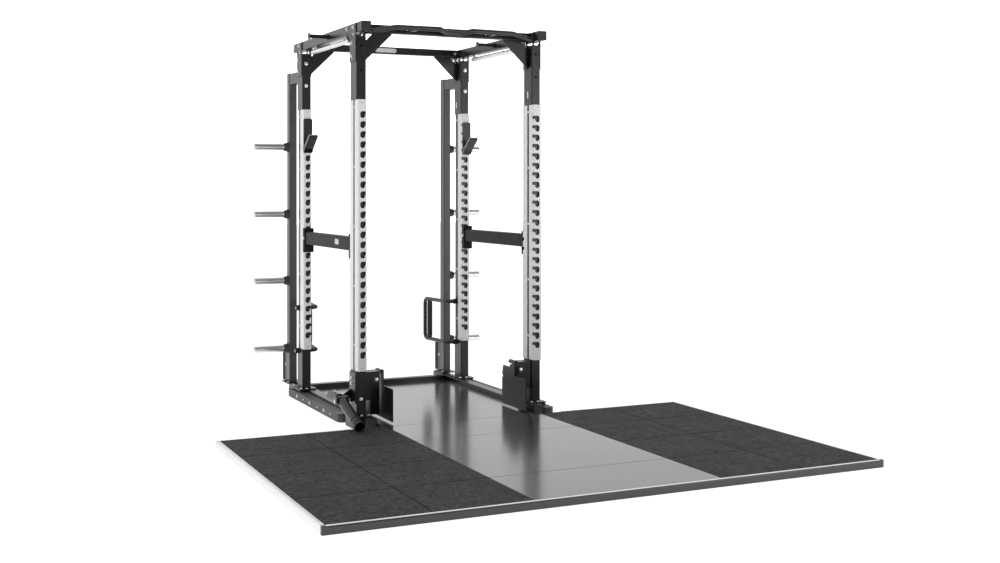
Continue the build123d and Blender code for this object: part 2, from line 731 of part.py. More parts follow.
def base_bolts():
    """Bolts of the feet, steps, hinge blocks and bar holders on one side."""
    bolts = []
    for y in (FRONT_Y, REAR_Y):
        middle = y + COLUMN_DEPTH / 2
        for offset in (-78, 78):
            for x in (COLUMN_X - 44, COLUMN_X + 4, COLUMN_X + 44):
                bolts.append(bolt_z(x, middle + offset, COLUMN_BOTTOM, 9, 7))
    for x in (COLUMN_X - 43, COLUMN_X + 41):
        for y in (3660, 3765):
            bolts.append(bolt_z(x, y, COLUMN_BOTTOM, 8, 6))
    side = BASE_OUTER + STEP_WIDTH
    for index, y in enumerate((2580, 2720, 2860, 3030, 3180, 3330)):
        radius = 9 if index % 2 else 5
        bolts.append(bolt_x(side, y, 30, radius, 5))
    bolts.append(bolt_y(497, 2200, 290, 9, 6))
    bolts.append(bolt_x(COLUMN_X + 24, 3774, 196, 9, 6))
    bolts.append(bolt_x(COLUMN_X - 24, 3774, 196, 9, -6))
    return bolts


def left_only_bolts():
    """Bolts that hold the swinging socket's bracket."""
    plate = -COLUMN_X - BOOT_WIDTH / 2 - 8
    bolts = [bolt_x(plate, 2257, z, 10, -7) for z in (268, 301)]
    bolts.append(bolt_y(-COLUMN_X - 2, FRONT_Y, 178, 9, 6))
    return bolts


# ---------------------------------------------------------------- nodes
save("subfloor_boards", *deck_board())
save("wood_panels", *wood_panels())
save("rubber_tiles_right", *rubber_tiles())
save("rubber_tiles_left", *[flip(tile) for tile in rubber_tiles()])
save("edge_profile_front", front_profile())
save("edge_profiles_side", *both([side_profile(), rear_profile()]))
save("profile_corner_caps", *both([corner_cap()]))

save("base_beam_right", base_beam())
save("base_beam_left", flip(base_beam()))
save("base_beam_rear", rear_base_beam())
save("step_plate_right", step_plate(STEP_FRONT_RIGHT))
save("step_plate_left", flip(step_plate(STEP_FRONT_LEFT)))
save("column_feet", column_foot(FRONT_Y), front_left_foot(), *both([column_foot(REAR_Y), post_foot()]))

for side, place in (("right", lambda solid: solid), ("left", flip)):
    save(f"column_front_{side}", place(column(FRONT_Y, True)))
    save(f"column_rear_{side}", place(column(REAR_Y, False)))
    save(f"channels_front_{side}", *[place(item) for item in channels_at(FRONT_Y, FRONT_FLANGE, True)])
    save(f"channel_rear_{side}", *[place(item) for item in channels_at(REAR_Y, REAR_FLANGE, False)])
    save(f"side_beam_{side}", place(side_beam()))
    save(f"storage_post_{side}", place(storage_post()))
    save(f"plate_pegs_{side}", *[place(item) for item in plate_pegs()])
    save(f"grab_handle_{side}", place(grab_handle()))
    save(f"j_hook_{side}", place(j_hook()))
    save(f"j_hook_liner_{side}", place(j_hook_liner()))
    save(f"safety_beam_{side}", place(safety_beam()))
    save(f"safety_brackets_{side}", *[place(item) for item in safety_brackets()])
    save(f"foot_plate_{side}", place(foot_plate()))

front_clips = channel_clips(FRONT_Y + COLUMN_DEPTH / 2) + web_screws(FRONT_Y - CHANNEL_PROUD)
rear_clips = channel_clips(REAR_Y + 60) + web_screws(REAR_Y - CHANNEL_PROUD)
inserts = [oblong_insert(2242), oblong_insert(3423)]
save("channel_clips", *both(front_clips + rear_clips + inserts))
save("beam_end_caps", *both(beam_caps()))
save("corner_plates", *both(corner_plates()))
save("front_crossbeam", crossbeam(CROSS_FRONT, CROSS_LOW, 2484))
save("rear_crossbeam", crossbeam(CROSS_REAR, CROSS_LOW, 2484))
save("corner_gussets", *both([gusset(2237), gusset(3406)]))
save("chin_up_bar", chin_up_bar())
save("chin_bar_clamps", *both([chin_clamp()]))
save("side_grip_bars", *both([side_grip_bar()]))
save("band_pegs", *both(band_pegs()))
save("storage_arms", *both([storage_arm()]))
save("peg_collars", *both(peg_collars()))
save("bar_holders", *both([bar_holder()]))
save("handle_knobs", *both(handle_knobs()))
save("foot_plate_hinge_blocks", *both([hinge_block()]))
save("socket_bracket", socket_bracket())
save("socket_head", socket_head())
save("socket_cross_bolt", socket_bolt())
save("socket_tube", socket_tube())
save("frame_bolts", *both(top_bolts() + base_bolts()), *left_only_bolts())
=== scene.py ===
"""Looks of the power rack with its lifting platform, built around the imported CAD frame."""

import json
import math

import bmesh
import bpy
from mathutils import Matrix, Vector


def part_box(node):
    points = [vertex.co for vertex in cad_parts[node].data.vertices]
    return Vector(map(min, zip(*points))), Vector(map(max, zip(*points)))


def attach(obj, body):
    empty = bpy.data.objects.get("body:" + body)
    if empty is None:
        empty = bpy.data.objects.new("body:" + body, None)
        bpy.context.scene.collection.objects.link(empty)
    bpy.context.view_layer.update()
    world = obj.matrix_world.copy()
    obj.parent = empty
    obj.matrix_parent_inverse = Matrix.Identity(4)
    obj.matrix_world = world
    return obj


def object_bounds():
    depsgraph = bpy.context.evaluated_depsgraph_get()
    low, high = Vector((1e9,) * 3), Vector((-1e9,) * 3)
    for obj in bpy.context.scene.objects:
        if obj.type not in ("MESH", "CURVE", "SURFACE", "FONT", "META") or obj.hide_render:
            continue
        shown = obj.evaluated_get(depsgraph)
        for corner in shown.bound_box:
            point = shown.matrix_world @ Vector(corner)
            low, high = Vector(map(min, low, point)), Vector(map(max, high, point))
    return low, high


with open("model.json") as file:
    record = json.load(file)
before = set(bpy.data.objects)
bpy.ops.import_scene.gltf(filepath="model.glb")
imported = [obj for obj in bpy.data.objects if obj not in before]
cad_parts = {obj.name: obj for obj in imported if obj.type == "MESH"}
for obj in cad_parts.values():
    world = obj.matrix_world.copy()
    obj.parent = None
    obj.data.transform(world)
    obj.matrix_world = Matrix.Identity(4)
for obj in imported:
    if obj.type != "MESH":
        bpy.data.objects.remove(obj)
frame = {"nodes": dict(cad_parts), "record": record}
NODES = frame["nodes"]
CAD_LOW, CAD_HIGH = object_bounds()
DECK_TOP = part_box("wood_panels")[1].z
SEAM_DEPTH = 0.0006
LIP_HEIGHT = 0.0386
TREAD_TOP = 0.0538


# ---------------------------------------------------------------- node material helpers
class Nodes:
    """A material's node tree with short calls for the nodes used here."""

    def __init__(self, name):
        self.material = bpy.data.materials.new(name)
        self.material.use_nodes = True
        self.tree = self.material.node_tree
        self.shader = self.tree.nodes["Principled BSDF"]
        self.coords = self.tree.nodes.new("ShaderNodeTexCoord").outputs["Object"]

    def add(self, kind, **values):
        node = self.tree.nodes.new(kind)
        for key, value in values.items():
            setattr(node, key, value)
        return node

    def link(self, source, target):
        self.tree.links.new(source, target)

    def stretched(self, scale):
        mapping = self.add("ShaderNodeMapping")
        mapping.inputs["Scale"].default_value = scale
        self.link(self.coords, mapping.inputs["Vector"])
        return mapping.outputs["Vector"]

    def noise(self, scale, detail=3.0, roughness=0.5, vector=None):
        node = self.add("ShaderNodeTexNoise")
        node.inputs["Scale"].default_value = scale
        node.inputs["Detail"].default_value = detail
        node.inputs["Roughness"].default_value = roughness
        self.link(vector or self.coords, node.inputs["Vector"])
        return node.outputs["Fac"]

    def cells(self, scale, vector=None, feature="F1"):
        node = self.add("ShaderNodeTexVoronoi", feature=feature)
        node.inputs["Scale"].default_value = scale
        self.link(vector or self.coords, node.inputs["Vector"])
        return node

    def ramp(self, value, stops):
        node = self.add("ShaderNodeValToRGB")
        while len(node.color_ramp.elements) < len(stops):
            node.color_ramp.elements.new(0.5)
        for element, (position, colour) in zip(node.color_ramp.elements, stops):
            element.position = position
            element.color = (*colour, 1) if len(colour) == 3 else colour
        self.link(value, node.inputs["Fac"])
        return node.outputs["Color"]

    def mix(self, factor, a, b, blend="MIX"):
        node = self.add("ShaderNodeMix", data_type="RGBA", blend_type=blend)
        for socket, value in ((node.inputs[0], factor), (node.inputs[6], a), (node.inputs[7], b)):
            if isinstance(value, bpy.types.NodeSocket):
                self.link(value, socket)
            elif socket == node.inputs[0]:
                socket.default_value = value
            else:
                socket.default_value = (*value, 1)
        return node.outputs[2]

    def spread(self, value, low, high):
        node = self.add("ShaderNodeMapRange")
        node.inputs["To Min"].default_value = low
        node.inputs["To Max"].default_value = high
        self.link(value, node.inputs["Value"])
        return node.outputs["Result"]

    def axis(self, name):
        node = self.add("ShaderNodeSeparateXYZ")
        self.link(self.coords, node.inputs[0])
        return node.outputs[name]

    def maths(self, operation, a, b):
        node = self.add("ShaderNodeMath", operation=operation)
        for socket, value in ((node.inputs[0], a), (node.inputs[1], b)):
            if isinstance(value, bpy.types.NodeSocket):
                self.link(value, socket)
            else:
                socket.default_value = value
        return node.outputs[0]

    def colour(self, value):
        self.link(value, self.shader.inputs["Base Color"])

    def roughness(self, value):
        self.link(value, self.shader.inputs["Roughness"])

    def bump(self, *layers, edge=0.0012):
        """Height layers as (value, strength, distance), on a normal rounded at the edges."""
        normal = None
        if edge:
            bevel = self.add("ShaderNodeBevel", samples=4)
            bevel.inputs["Radius"].default_value = edge
            normal = bevel.outputs["Normal"]
        for value, strength, distance in layers:
            node = self.add("ShaderNodeBump")
            node.inputs["Strength"].default_value = strength
            node.inputs["Distance"].default_value = distance
            self.link(value, node.inputs["Height"])
            if normal:
                self.link(normal, node.inputs["Normal"])
            normal = node.outputs["Normal"]
        self.link(normal, self.shader.inputs["Normal"])

    def set(self, **values):
        for key, value in values.items():
            self.shader.inputs[key.replace("_", " ").title().replace("Ior", "IOR")].default_value = value


# ---------------------------------------------------------------- materials
def powder_coat(name, colour, low=0.34, high=0.46, dust=0.35, gloss=0.5):
    """Textured powder coat: orange-peel skin, faint dust and slightly worn tone."""
    m = Nodes(name)
    cloudy = m.noise(7.0, 4.0, 0.6)
    grain = m.noise(900.0, 2.0)
    dark = [c * (1 - 0.22 * dust) for c in colour]
    light = [min(1, c * (1 + 0.35 * dust) + 0.003 * dust) for c in colour]
    tone = m.ramp(cloudy, [(0.35, dark), (0.7, light)])
    m.colour(m.mix(m.spread(grain, 0.0, 0.16), tone, light))
    m.roughness(m.spread(m.noise(24.0, 3.0), low, high))
    m.bump((m.cells(650.0).outputs["Distance"], 0.10, 0.0004), (m.noise(90.0), 0.05, 0.0006))
    m.set(specular_ior_level=gloss)
    return m.material


def white_paint():
    return powder_coat("white_powder_coat", (0.70, 0.70, 0.70), 0.30, 0.42, dust=0.12)


def speckled_rubber():
    """Pressed rubber granulate: clumped crumbs, grey flecks, and painted shade with dirt darkening the
    seams between the tiles.
    """
    m = Nodes("speckled_rubber")
    crumbs = m.cells(260.0)
    flecks = m.cells(150.0)
    clumps = m.noise(38.0, 6.0, 0.8)
    cloudy = m.noise(2.4, 4.0)
    base = m.ramp(cloudy, [(0.3, (0.012, 0.012, 0.0125)), (0.72, (0.019, 0.019, 0.020))])
    clump_tone = m.ramp(clumps, [(0.40, (0.1, 0.1, 0.1)), (0.60, (3.2, 3.2, 3.2))])
    crumb_tone = m.ramp(crumbs.outputs["Color"], [(0.2, (0.6, 0.6, 0.6)), (0.85, (1.4, 1.4, 1.4))])
    toned = m.mix(1.0, m.mix(1.0, base, clump_tone, "MULTIPLY"), crumb_tone, "MULTIPLY")
    chance = m.add("ShaderNodeSeparateColor")
    m.link(flecks.outputs["Color"], chance.inputs[0])
    picked = m.maths("GREATER_THAN", chance.outputs[0], 0.88)
    near = m.maths("LESS_THAN", flecks.outputs["Distance"], 0.36)
    flecked = m.mix(m.maths("MULTIPLY", picked, near), toned, (0.11, 0.11, 0.115))
    # Painted shade with dirt: near-black below the deck top, in the seams between the tiles.
    seam_shade_and_dirt = m.maths("LESS_THAN", m.axis("Z"), DECK_TOP - SEAM_DEPTH)
    m.colour(m.mix(seam_shade_and_dirt, flecked, (0.002, 0.002, 0.002)))
    m.roughness(m.spread(crumbs.outputs["Distance"], 0.62, 0.88))
    m.bump((crumbs.outputs["Distance"], 0.5, 0.0012), (clumps, 0.8, 0.0060), edge=0)
    m.set(specular_ior_level=0.30)
    return m.material


def lacquered_wood():
    """Black lacquer over wood: long faint grain, fine scuffs and a soft gloss."""
    m = Nodes("black_lacquered_wood")
    grain = m.noise(5.0, 6.0, 0.6, m.stretched((1.0, 14.0, 1.0)))
    fine = m.noise(60.0, 4.0, 0.6, m.stretched((0.6, 16.0, 1.0)))
    smears = m.noise(1.6, 4.0, 0.55)
    tone = m.ramp(grain, [(0.3, (0.014, 0.014, 0.015)), (0.75, (0.032, 0.032, 0.034))])
    scuffs = m.noise(9.0, 8.0, 0.75, m.stretched((1.0, 3.0, 1.0)))
    marks = m.ramp(scuffs, [(0.58, (0.0, 0.0, 0.0)), (0.70, (0.045, 0.045, 0.046))])
    # Painted shade with dirt: near-black below the deck top, in the seams between the panels; rougher there
    # as well.
    seam_shade_and_dirt = m.maths("LESS_THAN", m.axis("Z"), DECK_TOP - SEAM_DEPTH / 2)
    m.colour(m.mix(seam_shade_and_dirt, m.mix(1.0, tone, marks, "ADD"), (0.001, 0.001, 0.001)))
    worn = m.maths("ADD", m.spread(smears, -0.03, 0.07), m.spread(fine, 0.12, 0.19))
    m.roughness(m.maths("ADD", worn, m.maths("MULTIPLY", seam_shade_and_dirt, 0.5)))
    m.bump((fine, 0.04, 0.0006), (scuffs, 0.05, 0.0010), edge=0)
    m.set(specular_ior_level=0.5, coat_weight=0.25, coat_roughness=0.16)
    return m.material


def brushed_profile(name, face, lip=None, lip_height=None):
    """Anodised profile drawn lengthwise; above lip_height it has the lip's colour."""
    m = Nodes(name)
    streaks = m.noise(40.0, 5.0, 0.6, m.stretched((0.3, 0.3, 60.0)))
    tone = m.ramp(streaks, [(0.3, [c * 0.88 for c in face]), (0.7, [min(1, c * 1.1) for c in face])])
    if lip:
        bright = m.maths("GREATER_THAN", m.axis("Z"), lip_height)
        tone = m.mix(bright, tone, lip)
    m.colour(tone)
    m.roughness(m.spread(streaks, 0.32, 0.48))
    m.bump((streaks, 0.04, 0.0004), edge=0.001)
    m.set(metallic=0.35)
    return m.material


def zinc():
    m = Nodes("zinc_plating")
    spangle = m.cells(500.0)
    haze = m.noise(160.0, 3.0)
    m.colour(m.mix(m.spread(haze, 0.0, 0.5), (0.78, 0.78, 0.79), (0.52, 0.52, 0.54)))
    m.roughness(m.spread(spangle.outputs["Distance"], 0.22, 0.36))
    m.bump((haze, 0.08, 0.0003), edge=0.0006)
    m.set(metallic=0.9)
    return m.material


def chrome():
    m = Nodes("satin_chrome")
    haze = m.noise(40.0, 4.0)
    rings = m.noise(90.0, 3.0, 0.6, m.stretched((30.0, 1.0, 1.0)))
    m.colour(m.mix(m.spread(haze, 0.0, 0.4), (0.74, 0.74, 0.75), (0.60, 0.60, 0.62)))
    m.roughness(m.spread(rings, 0.28, 0.38))
    m.bump((rings, 0.03, 0.0003), edge=0.001)
    m.set(metallic=1.0)
    return m.material


def moulded_plastic(name, colour, low=0.42, high=0.58):
    m = Nodes(name)
    cloudy = m.noise(18.0, 4.0)
    m.colour(m.ramp(cloudy, [(0.3, [c * 0.85 for c in colour]), (0.7, [min(1, c * 1.15) for c in colour])]))
    m.roughness(m.spread(m.noise(60.0), low, high))
    m.bump((m.cells(900.0).outputs["Distance"], 0.12, 0.0003), edge=0.0012)
    return m.material


def grip_coating():
    """Black tube with a fine diamond texture pressed into its coating."""
    m = Nodes("grip_coating")
    bumps = m.cells(420.0)
    m.colour(m.ramp(m.noise(15.0), [(0.3, (0.016, 0.016, 0.017)), (0.7, (0.028, 0.028, 0.03))]))
    m.roughness(m.spread(m.noise(40.0), 0.38, 0.52))
    m.bump((bumps.outputs["Distance"], 0.35, 0.0005), edge=0.001)
    return m.material


def tread_plate():
    """Dark grey step, paler with streaks along the rib tops and darker below them, in the grooves and on
    the sides.
    """
    m = Nodes("step_tread")
    cloudy = m.noise(12.0, 4.0)
    wear = m.noise(70.0, 5.0, 0.7, m.stretched((1.0, 0.12, 1.0)))
    edge_tone = m.ramp(wear, [(0.35, (0.055, 0.055, 0.058)), (0.75, (0.13, 0.13, 0.135))])
    side_tone = m.ramp(cloudy, [(0.3, (0.02, 0.02, 0.021)), (0.7, (0.035, 0.035, 0.037))])
    m.colour(m.mix(m.maths("GREATER_THAN", m.axis("Z"), TREAD_TOP), side_tone, edge_tone))
    m.roughness(m.spread(cloudy, 0.42, 0.6))
    m.bump((wear, 0.12, 0.0005), edge=0.001)
    return m.material


def plywood():
    m = Nodes("plywood_boards")
    plies = m.noise(30.0, 3.0, 0.5, m.stretched((1.0, 1.0, 40.0)))
    m.colour(m.ramp(plies, [(0.3, (0.10, 0.075, 0.05)), (0.7, (0.24, 0.18, 0.12))]))
    m.roughness(m.spread(plies, 0.6, 0.8))
    m.bump((plies, 0.2, 0.0006), edge=0)
    return m.material


BLACK = powder_coat("black_powder_coat", (0.0045, 0.0045, 0.0050), 0.25, 0.34, gloss=0.36)
CHARCOAL = powder_coat("charcoal_powder_coat", (0.036, 0.036, 0.038), 0.30, 0.42)
SAFETY_BLACK = powder_coat("safety_powder_coat", (0.0030, 0.0030, 0.0034), 0.42, 0.52, gloss=0.12)
WHITE = white_paint()
RUBBER = speckled_rubber()
LACQUER = lacquered_wood()
FRONT_EDGE = brushed_profile("grey_edge_profile", (0.055, 0.055, 0.057), (0.86, 0.86, 0.86), LIP_HEIGHT)
PALE_EDGE = brushed_profile("pale_edge_profile", (0.74, 0.74, 0.75))
ZINC = zinc()
CHROME = chrome()
PLASTIC = moulded_plastic("black_moulding", (0.010, 0.010, 0.011))
PALE_PLASTIC = moulded_plastic("pale_moulding", (0.62, 0.62, 0.63))
CAP_PLASTIC = moulded_plastic("edge_cap_moulding", (0.045, 0.045, 0.047))
GRIP = grip_coating()
TREAD = tread_plate()
BOARD = plywood()

BY_SLOT = {
    "black_frame": BLACK,
    "charcoal_frame": CHARCOAL,
    "white_channel": WHITE,
    "speckled_rubber": RUBBER,
    "platform_lacquer": LACQUER,
    "front_edging": FRONT_EDGE,
    "pale_edging": PALE_EDGE,
    "edging_cap": CAP_PLASTIC,
    "zinc": ZINC,
    "chrome_tube": CHROME,
    "black_plastic": PLASTIC,
    "pale_liner": PALE_PLASTIC,
    "black_grip": GRIP,
    "step_tread": TREAD,
    "deck_board": BOARD,
}
SLOT_OF = {entry["node"]: entry["material_slot"] for entry in frame["record"]["subparts"]}


def dress_cad():
    """Gives every CAD node the material of its slot; the safeties have a duller black."""
    for name, node in NODES.items():
        node.data.materials.clear()
        node.data.materials.append(SAFETY_BLACK if name.startswith("safety_") else BY_SLOT[SLOT_OF[name]])


dress_cad()


# ---------------------------------------------------------------- mesh helpers
SIDES = ("left", "right")
WELD_DISTANCE = 0.00001
SMOOTH_ANGLE = 35
BACKING_PROUD = 0.018
TWO_BACKINGS_DEPTH = 0.150


def add_piece(name, body, slot, build):
    """A piece that rides on a body; build(shape) fills its mesh."""
    shape = bmesh.new()
    build(shape)
    bmesh.ops.recalc_face_normals(shape, faces=shape.faces)
    mesh = bpy.data.meshes.new(name)
    shape.to_mesh(mesh)
    shape.free()
    mesh.materials.append(BY_SLOT[slot])
    mesh.shade_smooth()
    mesh.set_sharp_from_angle(angle=math.radians(SMOOTH_ANGLE))
    piece = bpy.data.objects.new(name, mesh)
    bpy.context.scene.collection.objects.link(piece)
    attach(piece, body)
    return piece


def facing(place, direction):
    """A frame at place whose Z looks along direction and whose Y is as upright as it can be."""
    return Matrix.Translation(place) @ Vector(direction).to_track_quat("Z", "Y").to_matrix().to_4x4()


def join_rings(shape, rings):
    """Faces between neighbouring rings, and a cap on each open end."""
    for low, high in zip(rings, rings[1:]):
        for index in range(len(low)):
            after = (index + 1) % len(low)
            shape.faces.new((low[index], low[after], high[after], high[index]))
    shape.faces.new(rings[0])
    shape.faces.new(rings[-1])


def lathe(shape, profile, place, direction, steps=28):
    """Turns (radius, height) points about direction through place."""
    stand = facing(place, direction)
    rings = []
    for radius, height in profile:
        angles = [2 * math.pi * step / steps for step in range(steps)]
        points = [Vector((radius * math.cos(angle), radius * math.sin(angle), height)) for angle in angles]
        rings.append([shape.verts.new(stand @ point) for point in points])
    join_rings(shape, rings)


def hoop(shape, inner, outer, thickness, place, direction, steps=36):
    """A flat ring with eased edges on its far side."""
    stand = facing(place, direction)
    ease = min(thickness, outer - inner) * 0.3
    section = [
        (inner, 0),
        (outer, 0),
        (outer, thickness - ease),
        (outer - ease, thickness),
        (inner + ease, thickness),
        (inner, thickness - ease),
    ]
    rings = []
    for step in range(steps):
        angle = 2 * math.pi * step / steps
        around = [Vector((r * math.cos(angle), r * math.sin(angle), z)) for r, z in section]
        rings.append([shape.verts.new(stand @ point) for point in around])
    for ring, after in zip(rings, rings[1:] + rings[:1]):
        for index in range(len(section)):
            other = (index + 1) % len(section)
            shape.faces.new((ring[index], ring[other], after[other], after[index]))


def slab(shape, place, direction, size, thickness, radius, ease=0.0008):
    """A rounded plate with eased front edges, standing thickness proud of place."""
    stand = facing(place, direction)
    rings = []
    for inset, height in ((0, 0), (0, thickness - ease), (ease, thickness)):
        corner = radius - inset
        ring = []
        for turn, (sx, sy) in enumerate(((1, 1), (-1, 1), (-1, -1), (1, -1))):
            centre = Vector((sx * (size[0] / 2 - radius), sy * (size[1] / 2 - radius), height))
            for step in range(6):
                angle = math.pi / 2 * (turn + step / 5)
                spoke = Vector((math.cos(angle), math.sin(angle), 0))
                ring.append(shape.verts.new(stand @ (centre + corner * spoke)))
        rings.append(ring)
    join_rings(shape, rings)


def bead(shape, start, end, radius=0.0028):
    """A weld bead: ripples along a straight seam."""
    start, end = Vector(start), Vector(end)
    length = (end - start).length
    ripples = max(4, round(length / 0.004))
    profile = [(radius * 0.4, 0)]
    for ripple in range(ripples):
        profile.append((radius, length * (ripple + 0.35) / ripples))
        profile.append((radius * 0.8, length * (ripple + 0.9) / ripples))
    profile.append((radius * 0.4, length))
    lathe(shape, profile, start, end - start, steps=8)


def islands(node):
    """(lowest corner, highest corner) of each loose part of a CAD node, whose faces are welded first."""
    shape = bmesh.new()
    shape.from_mesh(NODES[node].data)
    bmesh.ops.remove_doubles(shape, verts=shape.verts, dist=WELD_DISTANCE)
    left = set(shape.verts)
    boxes = []
    while left:
        queue = [left.pop()]
        found = [queue[0].co.copy()]
        while queue:
            for edge in queue.pop().link_edges:
                for vertex in edge.verts:
                    if vertex in left:
                        left.remove(vertex)
                        queue.append(vertex)
                        found.append(vertex.co.copy())
        boxes.append(
            (
                Vector([min(point[axis] for point in found) for axis in range(3)]),
                Vector([max(point[axis] for point in found) for axis in range(3)]),
            )
        )
    shape.free()
    return sorted(boxes, key=lambda box: tuple(box[0]))


def side_of(name):
    return -1 if name.endswith("left") else 1


def column_boxes():
    return [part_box(f"column_{place}_{side}") for place in ("front", "rear") for side in SIDES]


def boot_span(low, high):
    """Front and rear face of a column's foot, whose slot backing stands proud of it."""
    behind = BACKING_PROUD if high.y - low.y > TWO_BACKINGS_DEPTH else 0
    return low.y + BACKING_PROUD, high.y - behind


# ---------------------------------------------------------------- fasteners
COLUMN_LINE = 0.600
HEX_FLAT = math.sqrt(3) / 2
WASHER_THICKNESS = 0.0016
INSERT_HEIGHT = 0.03
WEB_SCREW_DEPTH = 0.005


def head_of(box):
    """Where a bolt head sits: (seat, direction, radius, height)."""
    low, high = box
    size = high - low
    axis = min(range(3), key=lambda index: size[index])
    seat = (low + high) / 2
    if axis == 2:
        direction, seat.z = Vector((0, 0, 1)), low.z
    elif axis == 1:
        direction, seat.y = Vector((0, -1, 0)), high.y
    else:
        outward = 1 if seat.x > 0 else -1
        outer_side = abs(seat.x) > COLUMN_LINE
        direction = Vector((outward if outer_side else -outward, 0, 0))
        seat.x = low.x if direction.x > 0 else high.x
    across = sorted(size)[1:]
    return seat, direction, max(across) / 2, size[axis]


def bolt_details():
    """A washer under each bolt head of the frame and a crown on top of it."""
    heads = [head_of(box) for box in islands("frame_bolts")]

    def washers(shape):
        for seat, direction, radius, _ in heads:
            hoop(shape, radius * 0.72, radius * 1.28, WASHER_THICKNESS, seat, direction)

    def crowns(shape):
        for seat, direction, radius, height in heads:
            top = seat + direction * height
            flat = radius * HEX_FLAT
            profile = [(flat * 0.97, -0.0004), (flat * 0.9, 0.0007), (flat * 0.55, 0.0013)]
            lathe(shape, profile, top, direction)

    add_piece("bolt_washers", "rack", "zinc", washers)
    add_piece("bolt_head_crowns", "rack", "zinc", crowns)


def clip_details():
    """Black hexagons as painted shade in the sockets of the channel screws, and a collar around each."""
    screws = []
    for low, high in islands("channel_clips"):
        size = high - low
        centre = (low + high) / 2
        if size.z > INSERT_HEIGHT:
            continue
        if size.y < WEB_SCREW_DEPTH:
            screws.append((Vector((centre.x, low.y, centre.z)), Vector((0, -1, 0))))
        else:
            away = 1 if abs(centre.x) > COLUMN_LINE else -1
            outward = away * (1 if centre.x > 0 else -1)
            face = high.x if outward > 0 else low.x
            screws.append((Vector((face, centre.y, centre.z)), Vector((outward, 0, 0))))

    # Painted shade: a black hexagon disc where each screw's socket recess would be dark.
    def socket_shades(shape):
        for place, direction in screws:
            lathe(shape, [(0.0026, -0.0008), (0.0026, 0.0002), (0.0022, 0.0004)], place, direction, steps=6)

    def rims(shape):
        for place, direction in screws:
            hoop(shape, 0.0029, 0.0044, 0.0010, place, direction, steps=20)

    add_piece("channel_screw_socket_shades", "rack", "black_frame", socket_shades)
    add_piece("channel_screw_rims", "rack", "zinc", rims)


# ---------------------------------------------------------------- plugs, rims and sleeves
POST_PLUG = (0.055, 0.071)
COLUMN_PLUG = (0.061, 0.117)
BASE_PLUG = (0.070, 0.070)
PLUG_PROUD = 0.004
PLUG_CORNER = 0.005
PLUG_EASE = 0.0016
PEG_RADIUS = 0.0241
STOP_RADIUS = 0.0285
STOP_THICKNESS = 0.004
HOLDER_AXIS_TO_BACK = 0.033
GRIP_RIBS = 20
GRIP_INSET = 0.042


def end_plugs():
    """Moulded plugs in the open ends of the tubes."""
    posts = [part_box(f"storage_post_{side}") for side in SIDES]
    beams = [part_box(f"base_beam_{side}") for side in SIDES]

    def plug(shape, place, direction, size):
        slab(shape, place, direction, size, PLUG_PROUD, PLUG_CORNER, PLUG_EASE)

    def build(shape):
        for low, high in posts:
            middle = (low + high) / 2
            plug(shape, (middle.x, middle.y, high.z), (0, 0, 1), POST_PLUG)
        for low, high in column_boxes():
            middle = Vector(((low.x + high.x) / 2, sum(boot_span(low, high)) / 2, high.z))
            plug(shape, middle, (0, 0, 1), COLUMN_PLUG)
        for low, high in beams:
            middle = (low + high) / 2
            plug(shape, (middle.x, high.y, middle.z), (0, 1, 0), BASE_PLUG)

    add_piece("tube_end_plugs", "rack", "black_plastic", build)


def peg_details():
    """End plugs on the plate pegs, and a stop ring at their root."""
    for side in SIDES:
        pegs = islands(f"plate_pegs_{side}")
        outward = Vector((side_of(side), 0, 0))

        def tips(shape):
            for low, high in pegs:
                middle = (low + high) / 2
                tip = Vector((low.x if outward.x < 0 else high.x, middle.y, middle.z))
                lathe(shape, [(0.0155, -0.0005), (0.0150, 0.0012), (0.0125, 0.0018)], tip, outward)

        def stops(shape):
            for low, high in pegs:
                middle = (low + high) / 2
                root = Vector((high.x if outward.x < 0 else low.x, middle.y, middle.z))
                hoop(shape, PEG_RADIUS, STOP_RADIUS, STOP_THICKNESS, root, outward)

        add_piece(f"plate_peg_end_plugs_{side}", "rack", "zinc", tips)
        add_piece(f"plate_peg_stop_rings_{side}", "rack", "black_plastic", stops)


def holder_rims():
    """A moulded rim on the mouth of each upright bar holder."""
    holders = islands("bar_holders")

    def build(shape):
        for low, high in holders:
            centre = Vector(((low.x + high.x) / 2, high.y - HOLDER_AXIS_TO_BACK, high.z))
            hoop(shape, 0.0272, 0.0329, 0.003, centre, (0, 0, 1))

    add_piece("bar_holder_rims", "rack", "black_plastic", build)


def grip_sleeves():
    """Ribbed sleeves on the upright grips inside the D handles."""
    for side in SIDES:
        low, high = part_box(f"grab_handle_{side}")
        inner = min(abs(low.x), abs(high.x))
        foot = Vector((side_of(side) * (inner + 0.022), high.y - 0.088, low.z + GRIP_INSET))
        length = high.z - low.z - 2 * GRIP_INSET
        step = length / GRIP_RIBS
        profile = [(0.0175, 0)]
        for rib in range(GRIP_RIBS):
            start = length * rib / GRIP_RIBS
            profile.append((0.0200, start + step * 0.15))
            profile.append((0.0200, start + step * 0.6))
            profile.append((0.0188, start + step * 0.8))
        profile.append((0.0175, length))

        def sleeve(shape):
            lathe(shape, profile, foot, (0, 0, 1))

        add_piece(f"grip_sleeve_{side}", "rack", "black_grip", sleeve)


def knob_screws():
    """The screw in the outer face of each handle knob."""
    knobs = islands("handle_knobs")

    def build(shape):
        for low, high in knobs:
            middle = (low + high) / 2
            outward = 1 if middle.x > 0 else -1
            face = Vector((high.x if outward > 0 else low.x, middle.y, middle.z))
            profile = [(0.0070, -0.0008), (0.0068, 0.0012), (0.0050, 0.0022)]
            lathe(shape, profile, face, (outward, 0, 0), steps=24)

    add_piece("knob_screws", "rack", "zinc", build)


